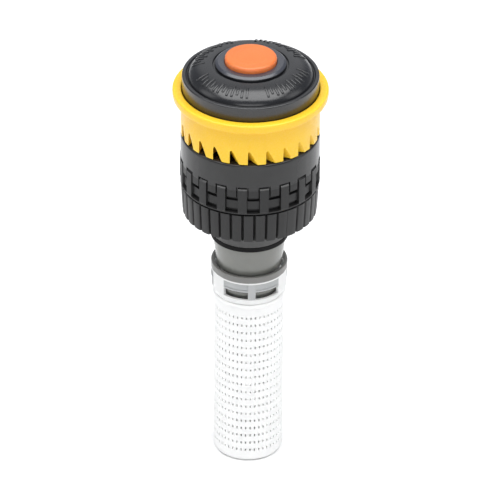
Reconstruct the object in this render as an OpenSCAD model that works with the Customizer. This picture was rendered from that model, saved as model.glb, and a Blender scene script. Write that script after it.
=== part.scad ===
// Rotary spray nozzle for a pop-up sprinkler riser, with its filter screen.
// Millimetres. The origin is the centre of the filter's flat bottom, and +Z is the nozzle's own axis.
// A turning deflector stands on a sprung shaft above an adjustable body with a female riser thread.

/* [Deflector] */
// Outer diameter of the deflector's skirt, the radius ring and the knurled base
head_d = 24.1; // [19.8:0.1:29.2]
// How far the rolled lip stands out from the skirt
lip_out = 1.45; // [0.8:0.05:2]
// Height of the rolled lip
lip_h = 1.55; // [1:0.05:2]
// Height from the tooth tips to the top of the lip
skirt_h = 8.5; // [8:0.1:10.2]
// Number of vanes, each of which ends in one tooth
tooth_count = 24; // [16:1:28]
// Height of a tooth at the skirt
tooth_h = 2.6; // [2:0.1:3.1]
// Width of a tooth at its tip
tooth_tip_w = 1.1; // [0.8:0.1:1.4]
// Width of a tooth at its root
tooth_root_w = 2.2; // [1.6:0.1:2.4]
// Angle between a vane and the radius that it crosses
vane_skew = 20; // [0:1:30]

/* [Cap] */
// Height of the button's top above the top of the lip
cap_rise = 6.3; // [5.6:0.1:7.6]
// Wall of the cap's skirt
cap_wall = 1.5; // [1.2:0.1:1.8]
// Thickness of the cap's dome
dome_t = 1.3; // [1:0.1:1.5]
// Diameter of the flat ring round the button
eye_d = 12.3; // [11:0.1:14.7]
// Diameter of the coloured button
button_d = 9; // [7.5:0.1:10.5]
// How far the button stands above the ring round it
button_out = 1.1; // [0.7:0.1:1.4]
// Number of raised ticks on the dome
tick_count = 24; // [12:1:32]

/* [Radius ring] */
// Height of the ring that sets the radius of throw
ring_h = 9.9; // [9.7:0.1:11.9]
// Number of grip ribs
rib_count = 20; // [12:1:24]
// Width of a grip rib
rib_w = 1.6; // [1.2:0.1:2]
// Height of a grip rib
rib_h = 4.9; // [4.2:0.1:5.8]
// Height of the open zone between the ribs
rib_zone_h = 3; // [2.5:0.1:3.6]
// Depth of the slots between the ribs
rib_zone_depth = 0.75; // [0.4:0.05:0.8]
// Wall between the ring's outside and the nozzle cover
ring_wall = 1.35; // [1:0.05:1.6]

/* [Base] */
// Height of the knurled skirt
knurl_h = 5.55; // [4.7:0.05:6.6]
// Number of knurl steps round the skirt
knurl_count = 36; // [24:1:48]
// Depth of a knurl groove
knurl_depth = 0.45; // [0.3:0.05:0.6]
// Taper of the knurled skirt from top to bottom, on the radius
knurl_taper = 0.4; // [0.2:0.05:0.6]
// Minor diameter of the female riser thread, 5/8 inch with 28 threads to the inch
thread_d = 14.9; // [14.9:0.1:16]
// Depth of the riser thread
thread_h = 7.5; // [6.5:0.1:7.9]
// Wall round the top of the riser thread
thread_wall = 1.55; // [1.2:0.05:1.8]
// Thickness of the roof above the riser's seat
roof_t = 1.6; // [1.2:0.1:1.8]
// Outer diameter of the neck that goes down into the riser
neck_d = 13.5; // [12.6:0.1:13.9]
// Wall of the neck
neck_wall = 1.15; // [0.9:0.05:1.3]
// Length of neck below the knurled skirt
neck_h = 4.3; // [3.6:0.1:5.2]

/* [Inlet] */
// Thickness of the gasket between the neck and the inlet
gasket_h = 0.8; // [0.6:0.05:1]
// Length of inlet between the gasket and the filter
inlet_show = 5.3; // [4.4:0.1:6.5]
// Diameter of the inlet at its shoulder
inlet_top_d = 12.74; // [12:0.02:13]
// Diameter of the inlet where it enters the filter
inlet_low_d = 11.44; // [11:0.02:11.6]
// Diameter of the inlet's tail inside the filter
tail_d = 10.6; // [10:0.1:10.8]
// Diameter of the water way through the inlet
bore_d = 9; // [8:0.1:9.4]
// Length of tail inside the filter
tail_h = 5.4; // [4.8:0.1:6.4]

/* [Filter] */
// Height of the filter from its flat bottom to the top of its collar
filter_h = 39; // [32.5:0.5:46.8]
// Diameter of the collar
collar_d = 13.4; // [13:0.1:14]
// Diameter of the screen
screen_d = 12.2; // [11.8:0.1:12.4]
// Height of the collar above the screen
collar_h = 6; // [5.6:0.1:7.2]
// Wall of the collar and the screen
filter_wall = 0.6; // [0.5:0.05:0.7]
// Number of windows in the collar
window_count = 6; // [4:1:8]
// Rows of openings in the screen
screen_rows = 12; // [6:1:16]
// Openings in each row, an even number
screen_columns = 16; // [8:2:20]

/* [Works] */
// Diameter of the shaft
shaft_d = 2.4; // [2:0.1:2.9]
// How far the head can be pulled up for flushing
lift = 4.5; // [3.8:0.1:5.2]
// Thickness of the valve sleeve's tube
sleeve_wall = 0.9; // [0.75:0.05:1.1]
// Thickness of the cover's centre tube
tube_wall = 0.7; // [0.6:0.05:0.85]
// Width of the arc-shaped water slot
slot_w = 0.9; // [0.7:0.05:1.1]
// Angle that the water slot covers when it is wide open
slot_arc = 270; // [180:5:280]
// Thickness of the throttle nut
nut_h = 1; // [0.8:0.05:1.2]
// How far the throttle nut moves from open to shut
nut_travel = 1.1; // [0.8:0.05:1.1]
// Number of drive lugs on the throttle nut
lug_count = 6; // [3:1:8]
// Thickness of the brake disk, the brake pad and the brake plate
brake_t = 1; // [0.8:0.05:1.1]
// Diameter of the spring's wire
wire_d = 0.5; // [0.4:0.05:0.55]
// Number of turns in the spring
spring_turns = 5; // [4:1:5]

/* [Fits] */
// Radial clearance where one piece turns on another
run_gap = 0.08; // [0.05:0.01:0.1]
// Clearance between faces that pass each other
face_gap = 0.1; // [0.06:0.01:0.15]
// Gap at the line where the radius ring meets the base, and above the ring
part_gap = 0.15; // [0.1:0.01:0.2]

/* [Hidden] */
$fn = 96;
eps = 0.01;

// Heights up the outside, from the filter's bottom
screen_top_z = filter_h - collar_h;
shoulder_z = filter_h + inlet_show;
neck_z = shoulder_z + gasket_h;
knurl_z = neck_z + neck_h;
knurl_top_z = knurl_z + knurl_h;
ring_z = knurl_top_z + part_gap;
ring_top_z = ring_z + ring_h;
tip_z = ring_top_z + part_gap;
lip_z = tip_z + skirt_h;
top_z = lip_z + cap_rise;

// Outside
head_r = head_d / 2;
lip_r = head_r + lip_out;
neck_r = neck_d / 2;
thread_r = thread_d / 2;
clock = -90;               // the face that looks along -Y is the front

// Shaft, valve sleeve and centre tube, each round the one before
shaft_r = shaft_d / 2;
sleeve_in_r = shaft_r + run_gap;
sleeve_r = sleeve_in_r + sleeve_wall;
tube_in_r = sleeve_r + run_gap;
tube_r = tube_in_r + tube_wall;

// Base
seat_z = knurl_z + thread_h;
roof_z = seat_z + roof_t;
boss_r = thread_r + thread_wall;
neck_in_r = neck_r - neck_wall;
throat_r = neck_in_r - 0.4;
spigot_h = 8.5;
spigot_top_z = shoulder_z + spigot_h;

// Chamber between the base's roof and the cover
chamber_z = roof_z + 0.2;
chamber_r = 8.3;
cover_low_z = roof_z + nut_h + nut_travel + 0.6;
cover_plate_t = 0.8;
plate_z = cover_low_z + cover_plate_t;
flange_z = cover_low_z + 1.1;
well_r = 4.9;              // flat middle of the dished cover
rim_drop = 0.4;            // the cover's rim lies this far below the top of the ring
cover_r = head_r - ring_wall;
slot_r = tube_r + 0.4;
oring_d = 0.8;

// Throttle nut
nut_z = roof_z + 0.2 + nut_travel;
nut_r = 7.6;
lug_out = 0.5;
lug_w = 1.8;
throttle_r = throat_r - 0.3;
throttle_h = 1;

// Valve sleeve
shutter_z = plate_z + face_gap / 2;
shutter_t = 0.6;
shutter_r = slot_r + slot_w + 0.3;
crown_count = 12;
crown_h = 0.6;
crown_r = shutter_r - slot_w - 0.6;

// Deflector
hub_z = shutter_z + shutter_t + crown_h + 0.7;
hub_r = crown_r;
roof_rim_z = tip_z + tooth_h;
roof_slope = 20;
wall_up = 1.1;             // least thickness of the deflector above its water channels
floor_z = roof_rim_z + wall_up;
chamber_wall = 1.85;
brake_r = head_r - chamber_wall;
cup_r = head_r - 0.15;
cup_z = floor_z + 2.7;
seal_h = 1;
bushing_flange_r = sleeve_r + 1;

// Brake, from the chamber floor up
disk_z = floor_z + 0.05;
pad_z = disk_z + brake_t + face_gap;
plate_low_z = pad_z + brake_t + 0.02;
pad_r = brake_r - 0.8;
plate_hub_r = shaft_r + 1.4;
plate_hub_h = 2.2;
top_clip_z = plate_low_z + brake_t + plate_hub_h + 0.05;
clip_t = 0.5;
clip_r = shaft_r + 0.9;
clip_bite = 0.3;
shaft_top_z = top_clip_z + clip_t + 0.8;

// Cap
cap_r = cup_r - 0.06;
rim_z = top_z - 3.7;
eye_r = eye_d / 2;
eye_z = top_z - button_out;
eye_step = 0.5;
dome_r = cap_r - 0.95;     // foot of the dome
bulge_r = 2.6;             // rounding of the dome's shoulder
bulge_x = dome_r - bulge_r;
bulge_z = eye_z - eye_step - 0.1 - bulge_r;
button_r = button_d / 2;
stem_r = 3;

// Inlet
spider_h = 2;
spider_z = spigot_top_z - spider_h;
spider_floor = 0.8;
socket_r = tube_r + 0.02;
spider_r = socket_r + 0.9;
leg_w = 1;
bore_r = bore_d / 2;
spigot_r = neck_in_r - 0.03;
spigot_wall = 0.85;        // least wall of the spigot, whose bore narrows to keep it in a slim neck
spigot_in_r = min(bore_r, spigot_r - spigot_wall);
tail_r = tail_d / 2;
tail_z = filter_h - tail_h;
bead_out = 0.45;
bead_h = 0.9;
bead_z = tail_z + 0.8;

// Spring and what holds it
spring_r = shaft_r + 0.8;
spring_h = lift + spring_turns * wire_d + 0.6;
spring_top_z = spider_z - 0.03;
spring_low_z = spring_top_z - spring_h;
washer_t = 0.5;
washer_r = spring_r + 0.7;
washer_z = spring_low_z - washer_t - 0.03;
bottom_clip_z = washer_z - clip_t - 0.03;
shaft_low_z = bottom_clip_z - 0.8;

// Filter
collar_r = collar_d / 2;
screen_r = screen_d / 2;
collar_in_r = inlet_low_d / 2 + 0.45;
snap_in_r = tail_r + bead_out + 0.07;
snap_top_z = bead_z + bead_h + 1.3;
window_low_z = bead_z - 0.1;
window_h = 1.2;
hoop_h = 2.1;
window_bar = 16;           // degrees of wall between two windows
foot_r = 0.87;             // rounding at the filter's bottom edge
foot_h = 1.4;
screen_flange_h = 0.6;

// Points on an arc, from angle a to angle b
function arc(x, y, r, a, b, n = 8) =
    [for (i = [0:n]) [x + r * cos(a + (b - a) * i / n), y + r * sin(a + (b - a) * i / n)]];

// Underside of the deflector's roof at radius r
function roof_at(r) = roof_rim_z - (head_r - r) * tan(roof_slope);

module tube(r_out, r_in, z, h) {
    translate([0, 0, z])
        difference() {
            cylinder(r = r_out, h = h);
            translate([0, 0, -eps]) cylinder(r = r_in, h = h + 2 * eps);
        }
}

// A slice of a tube that covers an angle from a, anticlockwise
module sector(r_out, r_in, z, h, a, sweep) {
    rotate([0, 0, a])
        translate([0, 0, z])
            rotate_extrude(angle = sweep)
                translate([r_in, 0]) square([r_out - r_in, h]);
}

// A ring of copies of the child, which stands at the front
module around(count, phase = 0) {
    for (i = [0:count - 1]) rotate([0, 0, phase + i * 360 / count]) children();
}

module oring(r, z) {
    rotate_extrude() translate([r, z]) circle(d = oring_d);
}

// ---- Turning head ----

module color_button() {
    color("#f0702c") {
        rotate_extrude()
            polygon(concat(
                [[0, eye_z - 1.2], [button_r, eye_z - 1.2]],
                arc(button_r - 0.65, top_z - 0.65, 0.65, 0, 90),
                [[0, top_z]]));
        translate([0, 0, eye_z - 2]) cylinder(r = stem_r, h = 1);
    }
}

// Half section of the cap's outer skin, from the foot of its skirt to the button's seat
function cap_skin() = concat(
    [[cap_r, cup_z + 0.05], [cap_r, rim_z - 0.2], [cap_r - 0.2, rim_z],
     [dome_r + 0.3, rim_z], [dome_r, rim_z - 0.3]],
    arc(bulge_x, bulge_z, bulge_r, 8, 90, 8),
    [[eye_r, eye_z - eye_step], [eye_r, eye_z - 0.15],
     [eye_r - 0.15, eye_z], [button_r + 0.04, eye_z], [button_r + 0.04, eye_z - 1.25]]);

module cap() {
    color("#1c1c1e")
        difference() {
            rotate_extrude()
                polygon(concat(cap_skin(),
                    [[stem_r + 0.04, eye_z - 1.25], [stem_r + 0.04, eye_z - dome_t - 0.6],
                     [bulge_x - 0.6, eye_z - dome_t - 0.6], [dome_r - 1.8, rim_z + 0.1],
                     [cap_r - cap_wall, rim_z - 1], [cap_r - cap_wall, cup_z + 0.05]]));
            oring(cap_r - 0.35, cup_z + 1);
        }
    color("#1c1c1e")
        around(tick_count)
            rotate([0, 0, clock])
                rotate_extrude(angle = 2.6)
                    polygon(concat(arc(bulge_x, bulge_z, bulge_r - 0.3, 38, 74, 3),
                                   arc(bulge_x, bulge_z, bulge_r + 0.14, 74, 38, 3)));
}

module cap_seal() {
    color("#101010") oring(cap_r - 0.35, cup_z + 1);
}

// One vane, with its upright flank on the right as seen from outside
module vane() {
    half = tooth_tip_w / 2;
    slant = (tooth_root_w - tooth_tip_w) / tooth_h;
    top = roof_rim_z + 0.5;
    foot = tip_z - 0.5;
    translate([0, -head_r, 0])
        rotate([0, 0, vane_skew])
            translate([0, -2, 0])
                rotate([90, 0, 180])
                    linear_extrude(head_r - hub_r - 0.5)
                        polygon([[-half, hub_z - 3], [-half, top],
                                 [half + slant * (top - tip_z), top],
                                 [half + slant * (foot - tip_z), foot],
                                 [half + slant * (foot - tip_z), hub_z - 3]]);
}

// Space that the vanes may fill, between the deflector's roof and the dished cover
module vane_space() {
    inner_r = hub_r + 1.6;
    rotate_extrude()
        polygon([[inner_r, roof_at(inner_r) + 0.3], [head_r, roof_rim_z + 0.3], [head_r, tip_z],
                 [cover_r - 0.3, tip_z], [well_r + 0.8, plate_z + 1.1], [inner_r, roof_at(inner_r)]]);
}

module deflector() {
    lip_low = lip_z - lip_h;
    color("#f6c62f") {
        difference() {
            rotate_extrude()
                polygon(concat(
                    [[hub_r, hub_z], [hub_r, roof_at(hub_r + 0.8) - 0.3], [hub_r + 0.8, roof_at(hub_r + 0.8)],
                     [head_r, roof_rim_z], [head_r, lip_low],
                     [lip_r - 0.25, lip_low], [lip_r - 0.05, lip_low + 0.2]],
                    arc(lip_r - 0.75, lip_z - 0.75, 0.75, 0, 90),
                    [[cup_r + 0.25, lip_z], [cup_r, lip_z - 0.2], [cup_r, cup_z], [brake_r, cup_z],
                     [brake_r, floor_z], [sleeve_r, floor_z], [sleeve_r, hub_z]]));
            around(crown_count)
                rotate([0, 0, clock])
                    translate([sleeve_r - 0.3, -0.3, hub_z - eps]) cube([2, 0.6, 0.5]);
        }
        intersection() {
            vane_space();
            around(tooth_count, 10.4) vane();
        }
    }
}

module hub_bushing() {
    color("#cfcabb") {
        tube(sleeve_r - 0.01, shaft_r + run_gap / 2, hub_z + seal_h + 0.05, floor_z - hub_z - seal_h - 0.05);
        tube(bushing_flange_r, shaft_r + run_gap / 2, floor_z, 0.6);
    }
}

module shaft_seal() {
    color("#202020")
        rotate_extrude()
            polygon([[sleeve_r - 0.01, hub_z + 0.05], [sleeve_r - 0.01, hub_z + seal_h],
                     [shaft_r + 0.4, hub_z + seal_h], [shaft_r + run_gap / 2, hub_z + 0.7],
                     [shaft_r + run_gap / 2, hub_z + 0.4], [shaft_r + 0.4, hub_z + 0.05]]);
}

module brake_disk() {
    color("#8d9096")
        difference() {
            tube(brake_r - 0.02, bushing_flange_r + face_gap, disk_z, brake_t);
            around(6)
                translate([brake_r, 0, disk_z - eps]) cylinder(r = 0.9, h = brake_t + 2 * eps);
        }
}

// ---- Shaft and brake plate ----

module brake_pad() {
    color("#5b4a3c") tube(pad_r, bushing_flange_r + 0.4, pad_z, brake_t);
}

module brake_plate() {
    color("#d9d9d4")
        difference() {
            union() {
                tube(pad_r, shaft_r + 0.01, plate_low_z, brake_t);
                tube(plate_hub_r, shaft_r + 0.01, plate_low_z + brake_t - eps, plate_hub_h + eps);
            }
            around(8)
                rotate([0, 0, clock])
                    translate([plate_hub_r + 1.2, -0.4, plate_low_z + brake_t - 0.4])
                        cube([pad_r, 0.8, 1]);
        }
}

module shaft() {
    color("#b9bcc0")
        difference() {
            translate([0, 0, shaft_low_z]) {
                cylinder(r1 = shaft_r - 0.2, r2 = shaft_r, h = 0.2);
                translate([0, 0, 0.2 - eps]) cylinder(r = shaft_r, h = shaft_top_z - shaft_low_z - 0.4 + 2 * eps);
                translate([0, 0, shaft_top_z - shaft_low_z - 0.2])
                    cylinder(r1 = shaft_r, r2 = shaft_r - 0.2, h = 0.2);
            }
            for (z = [top_clip_z, bottom_clip_z]) tube(shaft_r + 1, shaft_r - clip_bite, z - 0.02, clip_t + 0.04);
        }
}

// Open retaining ring, in the shaft's groove
module clip(z) {
    color("#8f9296") sector(clip_r, shaft_r - clip_bite + 0.01, z, clip_t, clock + 30, 300);
}

module top_clip() {
    clip(top_clip_z);
}

module bottom_clip() {
    clip(bottom_clip_z);
}

module spring_washer() {
    color("#c9ccd0") tube(washer_r, shaft_r + run_gap, washer_z, washer_t);
}

// One cross section of the spring's wire, at turn t
function wire_ring(t, rise) = [for (k = [0:7])
    let (a = 360 * t, x = spring_r + wire_d / 2 * cos(45 * k))
    [x * cos(a), x * sin(a), spring_low_z + wire_d / 2 + rise + wire_d / 2 * sin(45 * k)]];

module return_spring() {
    steps = 16;
    rings = spring_turns * steps;
    climb = spring_h - wire_d;
    points = [for (i = [0:rings]) each wire_ring(i / steps, climb * i / rings)];
    sides = [for (i = [0:rings - 1], k = [0:7])
        let (a = 8 * i + k, b = 8 * i + (k + 1) % 8)
        each [[a, a + 8, b + 8], [a, b + 8, b]]];
    ends = [[for (k = [0:7]) k], [for (k = [7:-1:0]) 8 * rings + k]];
    color("#d5d7da") polyhedron(points, concat(sides, ends));
}

// ---- Arc and radius setting ----

module valve_sleeve() {
    color("#b6463a") {
        tube(sleeve_r, sleeve_in_r, spigot_top_z + 0.6, shutter_z - spigot_top_z - 0.6);
        difference() {
            tube(shutter_r, sleeve_in_r, shutter_z - eps, shutter_t + eps);
            sector(shutter_r - 0.2, slot_r - 0.1, shutter_z - 1, 2, clock - 90, 180);
        }
        around(crown_count)
            sector(crown_r, sleeve_r + 0.1, shutter_z + shutter_t - 0.1, crown_h + 0.1, clock - 7, 14);
    }
}

module nozzle_cover() {
    color("#2b2b2d")
        difference() {
            union() {
                rotate_extrude()
                    polygon([[tube_in_r, cover_low_z], [chamber_r - run_gap, cover_low_z],
                             [chamber_r - run_gap, flange_z + 0.05], [cover_r - run_gap, flange_z + 0.05],
                             [cover_r - run_gap, ring_top_z - rim_drop],
                             [cover_r - 0.6, ring_top_z - rim_drop], [well_r, plate_z], [tube_in_r, plate_z]]);
                tube(tube_r, tube_in_r, spider_z + spider_floor + 0.02, cover_low_z - spider_z - spider_floor);
            }
            sector(slot_r + slot_w, slot_r, cover_low_z - 1, cover_plate_t + 2, clock - slot_arc / 2, slot_arc);
            oring(chamber_r - 0.44, cover_low_z + 0.6);
        }
}

module cover_oring() {
    color("#101010") oring(chamber_r - 0.44, cover_low_z + 0.6);
}

// Zone between the ribs: a slot, a band and a slot, one above the other
module rib_zone() {
    zone_z = ring_z + 0.4;
    slot_h = rib_zone_h * 0.2;
    band_r = head_r - 0.3;
    tube(head_r + 1, head_r - rib_zone_depth, zone_z, slot_h);
    tube(head_r + 1, band_r, zone_z + slot_h - eps, rib_zone_h - 2 * slot_h + 2 * eps);
    tube(head_r + 1, head_r - rib_zone_depth, zone_z + rib_zone_h - slot_h, slot_h);
}

module grip_rib() {
    low = ring_z + 0.4;
    deep = head_r - rib_zone_depth - 0.2;
    rotate([90, 0, 90])
        translate([0, 0, -rib_w / 2])
            linear_extrude(rib_w)
                polygon([[-deep, low], [-head_r - 0.1, low], [-head_r - 0.1, low + rib_h - 0.5],
                         [-head_r + 0.1, low + rib_h], [-deep, low + rib_h]]);
}

module radius_ring() {
    groove_h = rib_h - rib_zone_h;
    color("#2b2b2d") {
        difference() {
            rotate_extrude()
                polygon(concat(
                    [[boss_r + run_gap, ring_z], [head_r - 0.15, ring_z], [head_r, ring_z + 0.15]],
                    arc(head_r - 0.9, ring_top_z - 0.9, 0.9, 0, 90),
                    [[cover_r + 0.2, ring_top_z], [cover_r, ring_top_z - 0.2], [cover_r, flange_z],
                     [chamber_r, flange_z], [chamber_r, chamber_z], [boss_r + run_gap, chamber_z]]));
            rib_zone();
            around(rib_count, -6)
                translate([-rib_w / 2 - 0.25, -head_r - 1, ring_z + 0.4 + rib_zone_h - eps])
                    cube([rib_w + 0.5, 1.35, groove_h + 0.15]);
            around(lug_count)
                rotate([0, 0, clock])
                    translate([0, -lug_w / 2 - face_gap, chamber_z - 1])
                        cube([nut_r + lug_out + 2 * face_gap + 0.6, lug_w + 2 * face_gap, cover_low_z - chamber_z + 1]);
        }
        around(rib_count, -6) grip_rib();
    }
}

module throttle_nut() {
    color("#7e8286")
        difference() {
            union() {
                translate([0, 0, nut_z]) cylinder(r = nut_r, h = nut_h);
                translate([0, 0, nut_z - throttle_h])
                    cylinder(r1 = throttle_r - 0.5, r2 = throttle_r, h = throttle_h + eps);
                around(lug_count)
                    rotate([0, 0, clock])
                        translate([nut_r - 1, -lug_w / 2, nut_z]) cube([1.5 + lug_out, lug_w, nut_h]);
            }
            translate([0, 0, nut_z - throttle_h - 1]) cylinder(r = tube_r + run_gap, h = throttle_h + nut_h + 2);
        }
}

// ---- Base, inlet and filter ----

// Outline of the knurl: each step is a shallow ramp that ends in a groove, and one pad covers two steps
function knurl_outline() = [for (i = [0:knurl_count - 1])
    let (a = clock + 4 + i * 360 / knurl_count, pitch = 360 / knurl_count, r = head_r + 0.1)
    each [for (p = i == 3 ? [[0.5, 0]] : [[0, knurl_depth], [0.09, 0.26], [0.5, 0.1], [0.93, 0], [0.99, 0.3]])
        (r - p[1]) * [cos(a + p[0] * pitch), sin(a + p[0] * pitch)]]];

module knurled_skirt() {
    intersection() {
        translate([0, 0, knurl_z]) linear_extrude(knurl_h) polygon(knurl_outline());
        translate([0, 0, knurl_z - eps])
            cylinder(r1 = head_r + 0.1 - knurl_taper, r2 = head_r + 0.15, h = knurl_h + 2 * eps);
    }
}

module nozzle_base() {
    color("#2b2b2d")
        difference() {
            union() {
                knurled_skirt();
                translate([0, 0, knurl_top_z - 1]) cylinder(r = boss_r, h = roof_z - knurl_top_z + 1);
                translate([0, 0, neck_z]) cylinder(r = neck_r, h = knurl_z - neck_z + 1);
            }
            tube(thread_r, neck_r, knurl_z - eps, thread_h + eps);
            translate([0, 0, knurl_z - eps])
                difference() {
                    cylinder(r1 = thread_r + 0.6, r2 = thread_r - 0.1, h = 0.7);
                    cylinder(r = neck_r, h = 2);
                }
            translate([0, 0, neck_z - eps]) cylinder(r = neck_in_r, h = spigot_top_z - neck_z + 0.1);
            cylinder(r = throat_r, h = roof_z + 1);
            oring(boss_r - 0.35, roof_z - 0.9);
        }
}

module base_oring() {
    color("#101010") oring(boss_r - 0.35, roof_z - 0.9);
}

module inlet() {
    low_r = inlet_low_d / 2;
    step_down = spigot_in_r < bore_r ? [[spigot_in_r, shoulder_z], [bore_r, shoulder_z - 1]] : [];
    color("#82857f") {
        rotate_extrude()
            polygon([[bore_r, tail_z], [tail_r - 0.2, tail_z], [tail_r, tail_z + 0.2], [tail_r, bead_z],
                     [tail_r + bead_out, bead_z + 0.3], [tail_r + bead_out, bead_z + bead_h],
                     [tail_r, bead_z + bead_h], [tail_r, filter_h - 1], [low_r, filter_h - 0.4],
                     [inlet_top_d / 2, shoulder_z - 0.2], [inlet_top_d / 2 - 0.2, shoulder_z],
                     [spigot_r, shoulder_z], [spigot_r, spigot_top_z], [spigot_in_r, spigot_top_z],
                     each step_down]);
        difference() {
            union() {
                translate([0, 0, spider_z]) cylinder(r = spider_r, h = spider_h);
                around(4, 45)
                    translate([spider_r - 0.5, -leg_w / 2, spider_z])
                        cube([spigot_in_r - spider_r + 0.7, leg_w, spider_h]);
            }
            translate([0, 0, spider_z - 1]) cylinder(r = sleeve_in_r, h = spider_h + 2);
            translate([0, 0, spider_z + spider_floor]) cylinder(r = socket_r, h = spider_h);
        }
    }
}

module neck_gasket() {
    color("#101010") tube(neck_r + 0.05, neck_in_r, shoulder_z, gasket_h);
}

module filter_collar() {
    color("#e9ebe9")
        difference() {
            rotate_extrude()
                polygon([[collar_in_r, filter_h], [collar_r - 0.1, filter_h], [collar_r, filter_h - 0.1],
                         [collar_r, window_low_z + 0.3], [screen_r + 0.3, screen_top_z + 0.4],
                         [screen_r + 0.3, screen_top_z], [screen_r - filter_wall, screen_top_z],
                         [snap_in_r, window_low_z - 0.3], [snap_in_r, snap_top_z],
                         [collar_in_r, snap_top_z + 0.4]]);
            tube(collar_r + 1, collar_r - 0.18, filter_h - 1.2 - hoop_h, hoop_h);
            around(window_count, 5.5 + 180 / window_count)
                sector(collar_r + 1, snap_in_r - 0.5, window_low_z, window_h,
                       clock - 180 / window_count + window_bar / 2, 360 / window_count - window_bar);
        }
    color("#e9ebe9")
        around(window_count, 5.5)
            translate([-0.6, -collar_r - 0.02, window_low_z + window_h - 0.3]) cube([1.2, 0.3, hoop_h + 0.5]);
}

module filter_screen() {
    inner_r = screen_r - filter_wall;
    row_z = foot_h + 0.9;
    row_pitch = (screen_top_z - screen_flange_h - 1 - row_z) / screen_rows;
    column_w = 3.14159 * inner_r * 2 / screen_columns - 0.7;
    color("#f1f2f0")
        difference() {
            rotate_extrude()
                polygon(concat(
                    [[0, 0], [screen_r - foot_r, 0]],
                    arc(screen_r - foot_r, foot_r, foot_r, -90, 0),
                    [[screen_r, screen_top_z - screen_flange_h - 0.3],
                     [screen_r + 0.3, screen_top_z - screen_flange_h], [screen_r + 0.3, screen_top_z - 0.02],
                     [inner_r, screen_top_z - 0.02], [inner_r, foot_h], [0, foot_h]]));
            for (row = [0:screen_rows - 1], k = [0:screen_columns / 2 - 1])
                rotate([0, 0, clock + (k + 0.5) * 360 / screen_columns])
                    translate([-screen_r - 1, -column_w / 2, row_z + row * row_pitch])
                        cube([2 * screen_r + 2, column_w, row_pitch - 0.7]);
        }
}

color_button();
cap();
cap_seal();
deflector();
hub_bushing();
shaft_seal();
brake_disk();
brake_pad();
brake_plate();
shaft();
top_clip();
valve_sleeve();
nozzle_cover();
cover_oring();
radius_ring();
throttle_nut();
nozzle_base();
base_oring();
inlet();
neck_gasket();
return_spring();
spring_washer();
bottom_clip();
filter_collar();
filter_screen();
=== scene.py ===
"""Finished look of a rotary sprinkler nozzle, built over its solid frame.

Lengths in the classes below are millimetres, and angles are degrees. An angle round the nozzle is
measured from its front, and grows towards the right of someone who faces the front.
"""

import logging
import math
from collections.abc import Iterable, Sequence
from dataclasses import dataclass, field
from enum import Enum

import bmesh
import bpy
import numpy as np
from mathutils import Matrix, Vector


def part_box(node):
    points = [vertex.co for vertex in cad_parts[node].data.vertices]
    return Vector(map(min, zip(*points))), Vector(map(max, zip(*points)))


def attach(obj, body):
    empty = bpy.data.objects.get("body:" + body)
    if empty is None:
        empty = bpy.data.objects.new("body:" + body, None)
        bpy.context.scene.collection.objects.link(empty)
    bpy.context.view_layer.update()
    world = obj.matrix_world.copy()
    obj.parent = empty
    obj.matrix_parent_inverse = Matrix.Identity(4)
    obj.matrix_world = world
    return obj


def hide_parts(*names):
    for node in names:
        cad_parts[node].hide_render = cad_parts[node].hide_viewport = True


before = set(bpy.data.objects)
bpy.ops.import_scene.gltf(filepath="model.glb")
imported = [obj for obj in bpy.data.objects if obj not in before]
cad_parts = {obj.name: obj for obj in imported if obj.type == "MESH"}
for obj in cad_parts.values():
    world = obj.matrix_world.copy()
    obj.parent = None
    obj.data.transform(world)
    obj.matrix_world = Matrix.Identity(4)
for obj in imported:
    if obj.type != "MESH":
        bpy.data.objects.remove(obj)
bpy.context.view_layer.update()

MM = 0.001

log = logging.getLogger("nozzle")

Triple = tuple[float, float, float]
HalfSection = list[tuple[float, float]]
Piece = bpy.types.Object
Material = bpy.types.Material
Tree = bpy.types.NodeTree
Node = bpy.types.Node
Socket = bpy.types.NodeSocket


class Body(Enum):
    """The moving bodies that the pieces ride on."""

    HOUSING = "body"
    HEAD = "head"
    RING = "ring"
    FILTER = "filter"


# ---- Measures taken from the frame ----


@dataclass(frozen=True)
class Span:
    """Height range and outer radius of one solid of the frame."""

    low: float
    high: float
    radius: float

    @classmethod
    def of(cls, node: str) -> "Span":
        """Measures a node.

        Args:
            node: Name of the solid.

        Returns:
            Its lowest and highest level and its largest radius.
        """
        low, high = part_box(node)
        return cls(low[2] / MM, high[2] / MM, max(high[0], -low[0]) / MM)


def measured(node: str) -> Span:
    """Makes a dataclass field that holds the measures of a solid.

    Args:
        node: Name of the solid.

    Returns:
        The field, which is measured when its owner is made.
    """
    return field(default_factory=lambda: Span.of(node))


# ---- Mesh making ----


def fillet(points: Sequence[Sequence[float]], closed: bool = False, steps: int = 4) -> HalfSection:
    """Rounds the corners of a half section.

    Args:
        points: Corners as (radius, height), or (radius, height, fillet radius).
        closed: True if the last corner joins the first.
        steps: Straight pieces in each fillet.

    Returns:
        The rounded half section as (radius, height) pairs.
    """
    out: HalfSection = []
    count = len(points)
    for i, corner in enumerate(points):
        here = Vector(corner[:2])
        rounding = corner[2] if len(corner) > 2 else 0.0
        if rounding <= 0 or (not closed and i in (0, count - 1)):
            out.append((here.x, here.y))
            continue
        back = Vector(points[i - 1][:2]) - here
        ahead = Vector(points[(i + 1) % count][:2]) - here
        half = back.angle(ahead) / 2
        if half > math.radians(88):
            out.append((here.x, here.y))
            continue
        reach = min(rounding / math.tan(half), back.length * 0.48, ahead.length * 0.48)
        start, end = here + back.normalized() * reach, here + ahead.normalized() * reach
        for k in range(steps + 1):
            t = k / steps
            spot = start * (1 - t) ** 2 + here * (2 * t * (1 - t)) + end * t**2
            out.append((spot.x, spot.y))
    return out


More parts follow.
